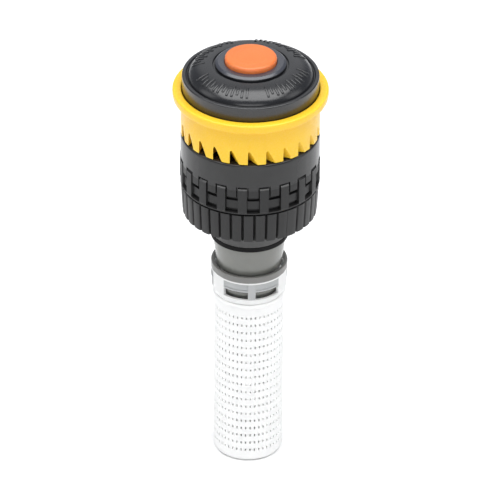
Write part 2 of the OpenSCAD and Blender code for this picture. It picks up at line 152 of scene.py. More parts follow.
def bow(x: float, z: float, r: float, start: float, end: float, steps: int = 8) -> HalfSection:
    """Points on an arc of a half section.

    Args:
        x: Radius at which the arc is centred.
        z: Height at which the arc is centred.
        r: Radius of the arc.
        start: First angle.
        end: Last angle.
        steps: Number of straight pieces.

    Returns:
        The points as (radius, height) pairs.
    """
    turns = [math.radians(start + (end - start) * i / steps) for i in range(steps + 1)]
    return [(x + r * math.cos(t), z + r * math.sin(t)) for t in turns]


def place(radius: np.ndarray, height: np.ndarray, angle: np.ndarray) -> np.ndarray:
    """Turns cylinder coordinates into points.

    Args:
        radius: Distances from the axis.
        height: Levels above the filter's foot.
        angle: Angles from the front.

    Returns:
        An array of x, y, z rows, in millimetres.
    """
    turn = np.radians(angle)
    return np.stack([radius * np.sin(turn), -radius * np.cos(turn), height], axis=-1).reshape(-1, 3)


def solid_from(name: str, points: np.ndarray, faces: Iterable[Sequence[int]], crease: float = 35.0) -> Piece:
    """Makes a shaded object from points and faces.

    Args:
        name: Name of the piece.
        points: Corner positions in millimetres.
        faces: Corner numbers of each face.
        crease: Angle above which an edge stays crisp.

    Returns:
        The new object, linked to the scene.
    """
    mesh = bpy.data.meshes.new(name)
    mesh.from_pydata((points * MM).tolist(), [], [list(f) for f in faces])
    work = bmesh.new()
    work.from_mesh(mesh)
    bmesh.ops.remove_doubles(work, verts=work.verts, dist=2e-7)
    bmesh.ops.dissolve_degenerate(work, edges=work.edges, dist=1e-7)
    bmesh.ops.delete(work, geom=[v for v in work.verts if not v.link_faces], context="VERTS")
    bmesh.ops.recalc_face_normals(work, faces=work.faces)
    work.to_mesh(mesh)
    work.free()
    mesh.polygons.foreach_set("use_smooth", [True] * len(mesh.polygons))
    mesh.set_sharp_from_angle(angle=math.radians(crease))
    obj = bpy.data.objects.new(name, mesh)
    bpy.context.scene.collection.objects.link(obj)
    even = obj.modifiers.new("even_normals", "WEIGHTED_NORMAL")
    even.keep_sharp = True
    return obj


def rings(name: str, radius: np.ndarray, height: np.ndarray, angle: np.ndarray, closed: bool = True,
          crease: float = 35.0) -> Piece:
    """Skins a stack of closed rings, one row of the arrays for each ring.

    Args:
        name: Name of the piece.
        radius: Radius at each row and column.
        height: Height at each row and column.
        angle: Angle at each row and column.
        closed: True if the last ring joins the first.
        crease: Angle above which an edge stays crisp.

    Returns:
        The new object.
    """
    rows, columns = radius.shape
    faces = []
    for i in range(rows if closed else rows - 1):
        low, high = i * columns, (i + 1) % rows * columns
        for j in range(columns):
            k = (j + 1) % columns
            faces.append((low + j, low + k, high + k, high + j))
    return solid_from(name, place(radius, height, angle), faces, crease)


def turned(name: str, section: HalfSection, steps: int = 240, closed: bool = True) -> Piece:
    """Turns a half section round the axis.

    Args:
        name: Name of the piece.
        section: The half section as (radius, height) pairs.
        steps: Number of sides.
        closed: True if the last point joins the first.

    Returns:
        The new object.
    """
    line = np.array(section)
    angle = np.tile(np.arange(steps) * 360 / steps, (len(line), 1))
    return rings(name, np.tile(line[:, :1], (1, steps)), np.tile(line[:, 1:], (1, steps)), angle, closed)


def pierced(name: str, outer: np.ndarray, inner: np.ndarray, angle: np.ndarray, solid: np.ndarray) -> Piece:
    """Makes a tube wall with openings.

    Args:
        name: Name of the piece.
        outer: Outer skin as (rows, columns, 2) of radius and height.
        inner: Inner skin, of the same shape.
        angle: Angle of each column.
        solid: True for each cell of the wall that is filled, as (rows - 1, columns).

    Returns:
        The new object.
    """
    rows, columns = outer.shape[:2]
    turns = np.tile(angle, (rows, 1))
    points = np.vstack([place(skin[..., 0], skin[..., 1], turns) for skin in (outer, inner)])
    inside = rows * columns
    faces = []
    for i in range(rows - 1):
        for j in range(columns):
            if not solid[i, j]:
                continue
            k = (j + 1) % columns
            a, b, c, d = i * columns + j, i * columns + k, (i + 1) * columns + k, (i + 1) * columns + j
            faces.append((a, b, c, d))
            faces.append((inside + d, inside + c, inside + b, inside + a))
            edges = ((i == 0 or not solid[i - 1, j], a, b), (not solid[i, k], b, c),
                     (i == rows - 2 or not solid[i + 1, j], c, d), (not solid[i, j - 1], d, a))
            faces.extend((q, p, p + inside, q + inside) for bare, p, q in edges if bare)
    return solid_from(name, points, faces, crease=30.0)


def merged(name: str, parts: Sequence[Piece]) -> Piece:
    """Joins several objects into the first.

    Args:
        name: Name of the piece.
        parts: The objects to join.

    Returns:
        The joined object.
    """
    bpy.ops.object.select_all(action="DESELECT")
    for part in parts:
        part.select_set(True)
    bpy.context.view_layer.objects.active = parts[0]
    bpy.ops.object.join()
    parts[0].name = name
    return parts[0]


def ramp(value: np.ndarray, low: float, high: float) -> np.ndarray:
    """Smooth step from 0 at low to 1 at high.

    Args:
        value: Where to measure the step.
        low: Where the step starts.
        high: Where the step ends.

    Returns:
        Heights of the step, from 0 to 1.
    """
    t = np.clip((value - low) / (high - low), 0, 1)
    return t * t * (3 - 2 * t)


def band(value: np.ndarray, low: float, high: float, soft: float = 0.05) -> np.ndarray:
    """Is 1 between two values and 0 outside them, with soft edges.

    Args:
        value: Where to measure.
        low: Where the band starts.
        high: Where the band ends.
        soft: Half the width of each edge.

    Returns:
        Strengths of the band, from 0 to 1.
    """
    return ramp(value, low - soft, low + soft) * (1 - ramp(value, high - soft, high + soft))


# ---- Finishes ----


def remap(tree: Tree, source: Socket, start: float, end: float, low: float = 0.0, high: float = 1.0) -> Node:
    """Adds a node that stretches one range of values onto another.

    Args:
        tree: The nodes that it joins.
        source: The value.
        start: First value of the old range.
        end: Last value of the old range.
        low: First value of the new range.
        high: Last value of the new range.

    Returns:
        The node.
    """
    node = tree.nodes.new("ShaderNodeMapRange")
    for socket, value in (("From Min", start), ("From Max", end), ("To Min", low), ("To Max", high)):
        node.inputs[socket].default_value = value
    tree.links.new(source, node.inputs["Value"])
    return node


@dataclass(frozen=True)
class Finish:
    """A moulded, rubber or metal finish, with tone, gloss and grain from noise."""

    name: str
    colour: Triple
    shade: Triple
    roughness: float
    swing: float = 0.06
    patch: float = 260.0
    grain: float = 4200.0
    grain_depth: float = 0.04
    metallic: float = 0.0
    coat: float = 0.0
    coat_roughness: float = 0.08
    soft_light: float = 0.0
    soft_reach: float = 1.0
    clear: float = 0.0
    streak: float = 1.0
    specular: float = 0.5
    rough_below: float = 0.0
    rough_added: float = 0.0
    bands: tuple[tuple[float, Triple], ...] = ()

    def make(self) -> Material:
        """Builds the finish as a node material.

        Returns:
            The material.
        """
        made = bpy.data.materials.new(self.name)
        made.use_nodes = True
        tree = made.node_tree
        shader = tree.nodes["Principled BSDF"]
        settings = {
            "Metallic": self.metallic, "Coat Weight": self.coat, "Coat Roughness": self.coat_roughness,
            "Subsurface Weight": self.soft_light, "Subsurface Scale": self.soft_reach * MM,
            "Subsurface Radius": (1.0, 0.6, 0.3) if self.colour[2] < 0.5 else (1.0, 1.0, 1.0),
            "Transmission Weight": self.clear, "IOR": 1.49, "Specular IOR Level": self.specular,
        }
        for socket, value in settings.items():
            shader.inputs[socket].default_value = value
        where = tree.nodes.new("ShaderNodeTexCoord")
        stretch = tree.nodes.new("ShaderNodeMapping")
        stretch.inputs["Scale"].default_value = (1.0, 1.0, self.streak)
        tree.links.new(where.outputs["Object"], stretch.inputs["Vector"])
        clouds = self._noise(tree, stretch, self.patch, 3.0)
        specks = self._noise(tree, stretch, self.grain, 2.0)
        tone = tree.nodes.new("ShaderNodeValToRGB")
        tone.color_ramp.elements[0].position = 0.3
        tone.color_ramp.elements[0].color = (*self.shade, 1.0)
        tone.color_ramp.elements[1].position = 0.7
        tone.color_ramp.elements[1].color = (*self.colour, 1.0)
        tree.links.new(clouds.outputs["Fac"], tone.inputs["Fac"])
        tree.links.new(self._banded(tree, where, tone), shader.inputs["Base Color"])
        gloss = remap(tree, specks.outputs["Fac"], 0.3, 0.7, max(self.roughness - self.swing, 0.02),
                      self.roughness + self.swing)
        tree.links.new(self._roughened(tree, where, gloss), shader.inputs["Roughness"])
        bump = tree.nodes.new("ShaderNodeBump")
        bump.inputs["Strength"].default_value = self.grain_depth
        bump.inputs["Distance"].default_value = 0.05 * MM
        tree.links.new(specks.outputs["Fac"], bump.inputs["Height"])
        tree.links.new(bump.outputs["Normal"], shader.inputs["Normal"])
        return made

    def _roughened(self, tree: Tree, where: Node, gloss: Node) -> Socket:
        """Adds roughness below a level, where a grip is textured.

        Args:
            tree: The material's nodes.
            where: Node that gives the coordinates.
            gloss: Node that gives the roughness.

        Returns:
            The socket with the finished roughness.
        """
        if not self.rough_added:
            return gloss.outputs["Result"]
        step = remap(tree, self._height(tree, where), (self.rough_below - 0.1) * MM,
                     (self.rough_below + 0.1) * MM, self.rough_added, 0.0)
        total = tree.nodes.new("ShaderNodeMath")
        total.operation = "ADD"
        tree.links.new(gloss.outputs["Result"], total.inputs[0])
        tree.links.new(step.outputs["Result"], total.inputs[1])
        return total.outputs["Value"]

    def _banded(self, tree: Tree, where: Node, tone: Node) -> Socket:
        """Multiplies the tone by a tint that changes with height. On the neck this tint is a painted
        reflection of the pale floor, and on the filter collar's top it is painted shade; on the ring it
        darkens the part below 59.9 mm, and on the cap it lightens the seat ring round the button.

        Args:
            tree: The material's nodes.
            where: Node that gives the coordinates.
            tone: Node that gives the tone.

        Returns:
            The socket with the finished colour.
        """
        if not self.bands:
            return tone.outputs["Color"]
        low, high = self.bands[0][0] - 1, self.bands[-1][0] + 1
        level = remap(tree, self._height(tree, where), low * MM, high * MM)
        tint = tree.nodes.new("ShaderNodeValToRGB")
        while len(tint.color_ramp.elements) < len(self.bands):
            tint.color_ramp.elements.new(0.5)
        for stop, (height, colour) in zip(tint.color_ramp.elements, self.bands):
            stop.position = (height - low) / (high - low)
            stop.color = (*colour, 1.0)
        tree.links.new(level.outputs["Result"], tint.inputs["Fac"])
        mix = tree.nodes.new("ShaderNodeMix")
        mix.data_type = "RGBA"
        mix.blend_type = "MULTIPLY"
        mix.inputs["Factor"].default_value = 1.0
        tree.links.new(tone.outputs["Color"], mix.inputs["A"])
        tree.links.new(tint.outputs["Color"], mix.inputs["B"])
        return mix.outputs["Result"]

    @staticmethod
    def _height(tree: Tree, where: Node) -> Socket:
        """Finds the height of the shaded point.

        Args:
            tree: The material's nodes.
            where: Node that gives the coordinates.

        Returns:
            The socket with the height in metres.
        """
        split = tree.nodes.new("ShaderNodeSeparateXYZ")
        tree.links.new(where.outputs["Object"], split.inputs["Vector"])
        return split.outputs["Z"]

    @staticmethod
    def _noise(tree: Tree, source: Node, scale: float, detail: float) -> Node:
        """Adds a noise node.

        Args:
            tree: The material's nodes.
            source: Node that gives the coordinates.
            scale: Waves to the metre.
            detail: Octaves of finer noise.

        Returns:
            The noise node.
        """
        noise = tree.nodes.new("ShaderNodeTexNoise")
        noise.inputs["Scale"].default_value = scale
        noise.inputs["Detail"].default_value = detail
        tree.links.new(source.outputs["Vector"], noise.inputs["Vector"])
        return noise


ORANGE = Finish("orange_satin", (0.70, 0.178, 0.043), (0.67, 0.165, 0.038), 0.34, soft_light=0.15,
                soft_reach=0.8, swing=0.03, grain=7000, grain_depth=0.03)
CAP_BLACK = Finish("cap_gloss_black", (0.0075, 0.0080, 0.0100), (0.0060, 0.0065, 0.0085), 0.29, swing=0.03,
                   coat=0.6, coat_roughness=0.22, grain=7000, grain_depth=0.02,
                   bands=((78.45, (1.0, 1.0, 1.0)), (78.6, (5.5, 5.5, 5.6))))
YELLOW = Finish("yellow_satin", (0.90, 0.56, 0.034), (0.87, 0.53, 0.028), 0.27, specular=0.4,
                soft_light=0.15, soft_reach=1.0, swing=0.03, grain=7000, grain_depth=0.03)
BLACK = Finish("ring_satin_black", (0.023, 0.023, 0.023), (0.019, 0.019, 0.019), 0.20, swing=0.03,
               specular=0.45, grain=8000, grain_depth=0.02, rough_below=60.0, rough_added=0.26,
               bands=((59.9, (0.40, 0.40, 0.40)), (60.0, (1.0, 1.0, 1.0))))
# The bands make the neck below 48.9 mm five and a half times lighter: a painted reflection of the pale floor
# in the smooth neck.
NECK_BLACK = Finish("base_satin_black", (0.015, 0.015, 0.015), (0.011, 0.011, 0.011), 0.42, swing=0.04,
                    grain=8000, grain_depth=0.03, specular=0.42,
                    bands=((48.9, (5.5, 5.5, 5.4)), (49.6, (1.0, 1.0, 1.0))))
GREY = Finish("inlet_grey", (0.190, 0.193, 0.175), (0.175, 0.178, 0.162), 0.24, swing=0.03, soft_light=0.05,
              coat=0.3, coat_roughness=0.15, grain=7000, grain_depth=0.02)
NATURAL = Finish("natural_translucent", (0.97, 0.97, 0.955), (0.96, 0.96, 0.945), 0.40, swing=0.02,
                 soft_light=0.3, soft_reach=2.0, clear=0.05, grain=6000, grain_depth=0.02)
# The bands darken the collar above 37.85 mm to a quarter: painted shade for the grey inlet seen through the
# thin top of the collar.
COLLAR = Finish("collar_translucent", (0.95, 0.95, 0.935), (0.94, 0.94, 0.925), 0.30, swing=0.02,
                soft_light=0.3, soft_reach=1.0, clear=0.2, grain=6000, grain_depth=0.01,
                bands=((37.75, (1.0, 1.0, 1.0)), (37.85, (0.25, 0.246, 0.237))))
# This finish is painted shade: the grey of the shaded tail behind the collar's thin webs and narrow bars,
# painted onto them.
WEB_SHADE = Finish("web_painted_shade", (0.52, 0.53, 0.53), (0.48, 0.49, 0.49), 0.30, swing=0.02, soft_light=0.2,
             soft_reach=0.6, clear=0.2, grain=6000, grain_depth=0.01)
RED = Finish("sleeve_red", (0.42, 0.035, 0.02), (0.36, 0.028, 0.016), 0.4, soft_light=0.1)
WORKS = Finish("works_grey", (0.42, 0.43, 0.43), (0.36, 0.37, 0.37), 0.45)
ACETAL = Finish("bearing_acetal", (0.78, 0.75, 0.66), (0.72, 0.69, 0.6), 0.35, soft_light=0.3,
                soft_reach=1.0)
LINING = Finish("brake_lining", (0.11, 0.065, 0.04), (0.05, 0.032, 0.022), 0.8, patch=2400, grain=7000,
                grain_depth=0.5)
STEEL = Finish("drawn_steel", (0.62, 0.63, 0.65), (0.52, 0.53, 0.55), 0.26, swing=0.08, metallic=1.0,
               streak=0.08, grain=9000, grain_depth=0.08)
RUBBER = Finish("seal_rubber", (0.012, 0.012, 0.012), (0.008, 0.008, 0.008), 0.7, grain=5200,
                grain_depth=0.15, specular=0.12)

NODE_FINISH = {
    "cap_seal": RUBBER, "hub_bushing": ACETAL, "shaft_seal": RUBBER, "brake_disk": WORKS, "brake_pad": LINING,
    "brake_plate": WORKS, "shaft": STEEL, "top_clip": STEEL, "valve_sleeve": RED, "nozzle_cover": BLACK,
    "cover_oring": RUBBER, "throttle_nut": WORKS, "base_oring": RUBBER, "neck_gasket": RUBBER,
    "return_spring": STEEL, "spring_washer": STEEL, "bottom_clip": STEEL,
}


@dataclass
class Paint:
    """Makes each finish once and hands out its material."""

    made: dict[str, Material] = field(default_factory=dict)

    def of(self, finish: Finish) -> Material:
        """Finds the material of a finish, and makes it the first time.

        Args:
            finish: The finish.

        Returns:
            Its material.
        """
        if finish.name not in self.made:
            self.made[finish.name] = finish.make()
        return self.made[finish.name]

    def dress(self, piece: Piece, finish: Finish) -> Piece:
        """Gives a piece its finish.

        Args:
            piece: The object.
            finish: The finish that it gets.

        Returns:
            The same object.
        """
        piece.data.materials.clear()
        piece.data.materials.append(self.of(finish))
        return piece

    def dress_node(self, node: str, finish: Finish) -> None:
        """Gives a solid of the frame its finish, and leaves its shape alone.

        Args:
            node: Name of the solid.
            finish: The finish that it gets.
        """
        for place_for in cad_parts[node].material_slots:
            place_for.material = self.of(finish)


def settle(piece: Piece, body: Body, slot: str, *nodes: str) -> Piece:
    """Ties a finished piece to its body and hides the solids that it stands for.

    Args:
        piece: The piece.
        body: The body that it rides on.
        slot: The record's material slot. Not used.
        nodes: The solids that it replaces.

    Returns:
        The same piece.
    """
    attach(piece, body.value)
    if nodes:
        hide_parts(*nodes)
    mesh = piece.data
    log.info("%s: %d corners, %d faces, on %s", piece.name, len(mesh.vertices), len(mesh.polygons),
             body.value)
    return piece


# ---- Turning head ----


@dataclass
class Button:
    """Coloured plug in the middle of the cap."""

    paint: Paint
    crown: float = 0.16
    edge: float = 0.62
    stem: float = 3.0
    size: Span = measured("color_button")

    def build(self) -> Piece:
        """Turns the plug, with a crowned face and a shallow ring in it.

        Returns:
            The piece.
        """
        r, top = self.size.radius, self.size.high
        face = []
        for x in np.linspace(r - self.edge * 2.2, 0.0, 14):
            dip = 0.035 * math.exp(-(((x - 0.62 * r) / 0.22) ** 2))
            face.append((x, top - self.crown * (x / r) ** 2 - dip))
        side = fillet([
            (0, top - 3.1), (self.stem, top - 3.1, 0.1), (self.stem, top - 2.3), (r - 0.15, top - 2.3, 0.1),
            (r, top - 1.9), (r, top - self.crown - 0.02, self.edge), face[0],
        ], steps=7)
        piece = turned("button", [*side[:-1], *face], steps=160, closed=False)
        return settle(self.paint.dress(piece, ORANGE), Body.HEAD, "orange_plastic", "color_button")


@dataclass
class Cap:
    """Domed cap with a seat for the button and raised marks on its shoulder."""

    paint: Paint
    wall: float = 1.5
    bulge: float = 2.6
    reach: float = 4.2
    foot_in: float = 0.95
    bore: float = 3.04
    seat_step: float = 0.6
    seat_out: float = 1.65
    groove: float = 0.3
    bar_width: float = 0.4
    bar_proud: float = 0.14
    bars_in_row: int = 13
    bar_pitch: float = 5.2
    row_starts: tuple[float, ...] = (-66, 18, 112, 204)
    button: Span = measured("color_button")
    size: Span = measured("cap")

    def __post_init__(self) -> None:
        """Works out the levels that the dome and its marks share."""
        self.r = self.size.radius
        self.top = self.size.high
        self.rim = self.button.high - 3.7
        self.foot = self.r - self.foot_in
        self.bulge_x = self.foot - self.reach
        self.bulge_z = self.top - self.seat_step - self.bulge

    def shoulder(self, tilt: float, lift: float = 0.0) -> tuple[float, float]:
        """Point of the dome's rounded shoulder where its face has a given tilt.

        Args:
            tilt: Angle of the face's normal above the horizontal.
            lift: Height above the face.

        Returns:
            Its radius and height.
        """
        lean = math.radians(tilt)
        turn = math.atan(math.tan(lean) * self.bulge / self.reach)
        return (self.bulge_x + self.reach * math.cos(turn) + lift * math.cos(lean),
                self.bulge_z + self.bulge * math.sin(turn) + lift * math.sin(lean))

    def build(self) -> list[Piece]:
        """Builds the cap and its marks.

        Returns:
            The two pieces.
        """
        well = self.button.radius + 0.04
        eye = self.button.radius + self.seat_out
        floor = self.top - 1.25
        plateau = self.top - self.seat_step
        skin = [
            (self.r - 0.12, self.size.low, 0.05), (self.r, self.size.low + 0.2, 0.08),
            (self.r, self.rim, 0.24), (self.foot + 0.34, self.rim, 0.13),
            (self.foot + 0.12, self.rim - 0.26, 0.08), (self.foot, self.rim - 0.22, 0.05),
            *(self.shoulder(t) for t in np.linspace(6, 88.5, 20)),
            (eye + 0.42, plateau, 0.1), (eye + 0.36, plateau - self.groove, 0.06),
            (eye + 0.04, plateau - self.groove, 0.08), (eye, self.top - 0.34, 0.2),
            (eye - 0.46, self.top, 0.25), (well, self.top, 0.12), (well, floor, 0.05),
            (self.bore, floor, 0.05), (self.bore, self.top - 1.9),
            (self.bulge_x - 0.2, self.top - 2.0, 0.5), (self.foot - 1.8, self.rim + 0.1, 0.5),
            (self.r - self.wall, self.rim - 1, 0.3), (self.r - self.wall, self.size.low, 0.1),
        ]
        cap = turned("cap_shell", fillet(skin, closed=True, steps=5), steps=256)
        settle(self.paint.dress(cap, CAP_BLACK), Body.HEAD, "gloss_black_plastic", "cap")
        marks = self.paint.dress(self._marks(), CAP_BLACK)
        return [cap, settle(marks, Body.HEAD, "gloss_black_plastic")]

    def _marks(self) -> Piece:
        """Raises rows of plain bars, long and short by turns, on the dome's shoulder.

        Returns:
            The marks as one piece.
        """
        points: list[np.ndarray] = []
        faces: list[tuple[int, ...]] = []
        for start in self.row_starts:
            for k in range(self.bars_in_row):
                middle = start + k * self.bar_pitch
                low, high = ((50, 79), (58, 75), (50, 71))[k % 3]
                base = len(points) * 24
                points.append(self._bar(middle, low, high))
                faces.extend(tuple(base + c for c in f) for f in self._bar_faces())
        return solid_from("cap_marks", np.vstack(points), faces, crease=50.0)

    def _bar(self, middle: float, low: float, high: float) -> np.ndarray:
        """Places the corners of one bar: three rows of eight, at its base, shoulder and face.

        Args:
            middle: Angle of the bar's middle line, round the nozzle.
            low: Tilt of the dome's face at the bar's outer end.
            high: Tilt at its inner end.

        Returns:
            The corners in millimetres.
        """
        arcs = np.linspace(low, high, 4)
        rows = []
        for lift, inset in ((-0.15, 0.0), (self.bar_proud - 0.05, 0.0), (self.bar_proud, 0.05)):
            span = arcs + np.array([1, 0.33, -0.33, -1]) * math.degrees(inset / self.bulge)
            spots = np.array([self.shoulder(tilt, lift) for tilt in span])
            radius, height = spots[:, 0], spots[:, 1]
            side = np.degrees((self.bar_width / 2 - inset) / radius)
            rows.append(place(radius, height, middle - side))
            rows.append(place(radius[::-1], height[::-1], middle + side[::-1]))
        return np.vstack(rows)

    @staticmethod
    def _bar_faces() -> list[tuple[int, ...]]:
        """Lists the faces of one bar: its sides, its face and its hidden base.

        Returns:
            Corner numbers of each face.
        """
        sides = [(8 * i + j, 8 * i + (j + 1) % 8, 8 * i + 8 + (j + 1) % 8, 8 * i + 8 + j)
                 for i in range(2) for j in range(8)]
        return [*sides, *((16 + j, 17 + j, 22 - j, 23 - j) for j in range(3)),
                *((j, 7 - j, 6 - j, 1 + j) for j in range(3))]


@dataclass
class Deflector:
    """Yellow turning deflector: a rolled lip over a skirt whose vanes end in teeth."""

    paint: Paint
    count: int = 24
    tooth: float = 2.6
    tip: float = 1.1
    root: float = 2.2
    skew: float = 38.0
    upright_flank: float = -1.8
    lip_out: float = 1.45
    lip_height: float = 1.55
    roof_slope: float = 20.0
    hub: float = 3.06
    bore: float = 2.18
    vane_start: float = 4.66
    size: Span = measured("deflector")
    ring: Span = measured("radius_ring")

    def __post_init__(self) -> None:
        """Works out the shared radii and levels."""
        self.r = self.size.radius - self.lip_out
        self.foot = self.ring.high + 0.15
        self.rim = self.foot + self.tooth

    def roof(self, r: float) -> float:
        """Finds the height of the channels' roof.

        Args:
            r: The radius.

        Returns:
            The height there.
        """
        return self.rim - (self.r - r) * math.tan(math.radians(self.roof_slope))

    def vane_row(self, r: float, dish: float) -> tuple[np.ndarray, np.ndarray]:
        """Columns of the underside at one radius.

        Args:
            r: The radius.
            dish: Height of the vanes' lower edge there.

        Returns:
            Angles and heights of all the columns.
        """
        bend = math.tan(math.radians(self.skew))
        share = (r / self.r) ** 2
        lean = math.atan(bend * share)
        middle = -math.degrees(bend * (1 - share) / 2)
        roof = self.roof(r)
        half = min(math.degrees(self.tip / 2 / math.cos(lean) / r), 4.0)
        flare = (self.root - self.tip) / self.tooth * (roof - dish)
        slant = min(math.degrees(flare / math.cos(lean) / r), 5.6)
        home = self.upright_flank - math.degrees(self.tip / 2 / math.cos(math.radians(self.skew)) / self.r)
        pitch = 360 / self.count
        open_w = pitch - 2 * half - slant
        offsets = [(-half, 0), (0, 0), (half - 0.12, 0), (half, 0.03)]
        offsets += [(half + 0.10, 0.5), (half + 0.2, 0.86), (half + 0.2 + open_w * 0.18, 0.98),
                    (half + open_w * 0.5, 1.0), (half + open_w * 0.82, 0.97)]
        offsets += [(half + open_w + slant * 0.05, 0.86), (half + open_w + slant * 0.42, 0.55),
                    (half + open_w + slant * 0.9, 0.06)]
        angle = np.array([home + middle + k * pitch + o for k in range(self.count) for o, _ in offsets])
        height = np.array([dish + (roof - dish) * h for _ in range(self.count) for _, h in offsets])
        return angle, height

    def build(self) -> Piece:
        """Skins the deflector from its hub, over the vanes and the lip, to the brake chamber.

        Returns:
            The piece.
        """
        radius, height, angle = [], [], []

        def add(r: float, z: np.ndarray | float, a: np.ndarray) -> None:
            """Adds one ring.

            Args:
                r: Its radius.
                z: Its height, or the height of each column.
                a: Angle of each column.
            """
            angle.append(a)
            radius.append(np.full(len(a), float(r)))
            height.append(np.broadcast_to(z, len(a)).astype(float))

        hub, bore, low = self.hub, self.bore, self.size.low
        top, lip = self.size.high, self.size.radius
        cup, brake = self.r - 0.15, self.r - 1.85
        shelf, floor = self.rim + 3.8, self.rim + 1.1
        first = (self.vane_start, self.roof(self.vane_start) - 0.05)
        below = [(5.2, 1.2), (5.7, 2.05), (6.6, 1.66), (7.6, 1.23), (8.6, 0.79), (9.6, 0.35), (10.4, 0.0),
                 (11.2, 0.0), (self.r - 0.07, 0.0)]
        dish = [first, *((r, self.foot - drop) for r, drop in below)]
        inner_angle, _ = self.vane_row(*first)
        for r, z in fillet([(bore, low, 0.05), (hub, low, 0.1), (hub, self.roof(hub + 0.8) - 0.3, 0.2),
                            (4.2, self.roof(4.2))], steps=3):
            add(r, z, inner_angle)
        for r, z in dish:
            a, h = self.vane_row(r, z)
            add(r, h, a)
        outer_angle, edge = self.vane_row(self.r, self.foot)
        add(self.r, edge + 0.07, outer_angle)
        add(self.r, np.maximum(edge + 0.3, self.rim - 0.6), outer_angle)
        section = fillet([
            (self.r, self.rim + 0.3), (self.r, self.rim + 1.6), (self.r, top - self.lip_height, 0.4),
            (lip - 0.1, top - self.lip_height, 0.36), (lip, top - 0.75), (lip - 0.02, top, 0.72),
            (cup + 0.1, top, 0.3), (cup, top - 0.4), (cup, shelf, 0.1), (brake, shelf, 0.15),
            (brake, floor, 0.2), (bore, floor, 0.05), (bore, low + 0.06)], steps=6)
        for r, z in section:
            add(r, z, outer_angle if r > hub else inner_angle)
        piece = rings("deflector_cup", np.array(radius), np.array(height), np.array(angle), crease=38.0)
        return settle(self.paint.dress(piece, YELLOW), Body.HEAD, "yellow_plastic", "deflector")


# ---- Radius ring and base ----


@dataclass
class RadiusRing:
    """Adjusting ring, smooth above and ribbed below."""

    paint: Paint
    ribs: int = 20
    phase: float = -6.0
    rib_width: float = 1.6
    rib_height: float = 4.9
    slot_depth: float = 0.75
    band_depth: float = 0.3
    moat: float = 0.25
    moat_depth: float = 0.35
    shoulder: float = 0.8
    foot_gap: float = 0.12
    lugs: int = 6
    bore: float = 8.3
    slot_r: float = 8.9
    socket: float = 9.08
    size: Span = measured("radius_ring")
    cover: Span = measured("nozzle_cover")

    def recess(self, across: np.ndarray, up: np.ndarray) -> np.ndarray:
        """Depth of the wall's relief.

        Args:
            across: Distance from the middle of the nearest rib.
            up: Height above the ring's lower edge.

        Returns:
            Depths below the smooth wall, less than zero where it stands proud.
        """
        away = np.abs(across)
        half = self.rib_width / 2
        low, top = 0.4, 0.4 + self.rib_height
        beside = ramp(away, half - 0.03, half + 0.05)
        zone = band(up, low, low + 3.0, 0.04)
        middle = band(up, low + 0.68, low + 2.3, 0.05)
        between = zone * (self.slot_depth - (self.slot_depth - self.band_depth) * middle)
        bank = half + self.moat
        moat = band(up, low + 3.0, top + 0.17, 0.04) * (1 - ramp(away, bank - 0.03, bank + 0.05))
        flank = np.maximum(between, moat * self.moat_depth)
        crest = 0.45 * np.clip((up - top + 0.32) / 0.32, 0, 1) - 0.1 * ramp(up, low - 0.05, low + 0.05)
        crest = np.where(up > top + 0.02, self.moat_depth * band(up, top - 0.3, top + 0.17, 0.04), crest)
        return beside * flank + (1 - beside) * crest

    def build(self) -> Piece:
        """Skins the ring with its relief outside and its drive slots inside.

        Returns:
            The piece.
        """
        r, low, top = self.size.radius - 0.1, self.size.low, self.size.high
        pitch = 2 * math.pi * r / self.ribs
        half = self.rib_width / 2
        marks = [0, half * 0.5, half - 0.1, half - 0.03, half + 0.01, half + 0.05, half + 0.12, half + 0.2,
                 half + 0.22, half + 0.26, half + 0.3, half + 0.45, pitch / 2]
        across = np.array([-m for m in marks[:0:-1]] + marks[:-1])
        columns = np.tile(across, self.ribs)
        turns = np.repeat(np.arange(self.ribs) * 360 / self.ribs, len(across))
        angle = np.degrees(columns / r) + self.phase + turns
        ups = [0.2, 0.34, 0.38, 0.42, 0.46, 0.7, 0.93, 0.98, 1.03, 1.08, 1.13, 1.4, 2.3, 2.65, 2.7, 2.75,
               2.82, 2.87, 3.1, 3.34, 3.38, 3.42, 3.46, 3.9, 4.5, 4.8, 4.94, 4.98, 5.06, 5.14, 5.22, 5.29,
               5.33, 5.42, 5.47, 5.53, 5.8, 7.0, 8.2]
        radius, height = [], []
        for up in ups:
            level = np.full(len(columns), float(up))
            radius.append(r - self.recess(columns, level))
            height.append(low + level)
        inner = self.cover.radius + 0.08
        upper = fillet([(r, top - self.shoulder - 0.3), (r, top, self.shoulder), (inner, top, 0.16),
                        (inner, top - 0.5), (inner, top - 2.7, 0.05), (self.bore, top - 2.7)], steps=8)
        for x, z in upper:
            radius.append(np.full(len(columns), x))
            height.append(np.full(len(columns), z))
        slots = np.abs((angle + 180 / self.lugs) % (360 / self.lugs) - 180 / self.lugs) < 7.0
        for z in (top - 3.8, top - 3.85, top - 6.25):
            radius.append(np.where(slots & (z < top - 3.82), self.slot_r, self.bore))
            height.append(np.full(len(columns), z))
        socket = self.socket
        lower = fillet([(self.bore, top - 6.3), (socket, top - 6.3, 0.05), (socket, low, 0.2),
                        (socket + 0.22, low, 0.05), (socket + 0.32, low + self.foot_gap, 0.05),
                        (r, low + self.foot_gap)], steps=4)
        for x, z in lower:
            radius.append(np.where(slots & (x < self.slot_r), self.slot_r, x))
            height.append(np.full(len(columns), z))
        across_rows = np.tile(angle, (len(radius), 1))
        piece = rings("ring_ribbed", np.array(radius), np.array(height), across_rows, crease=40.0)
        return settle(self.paint.dress(piece, BLACK), Body.RING, "matte_black_plastic", "radius_ring")


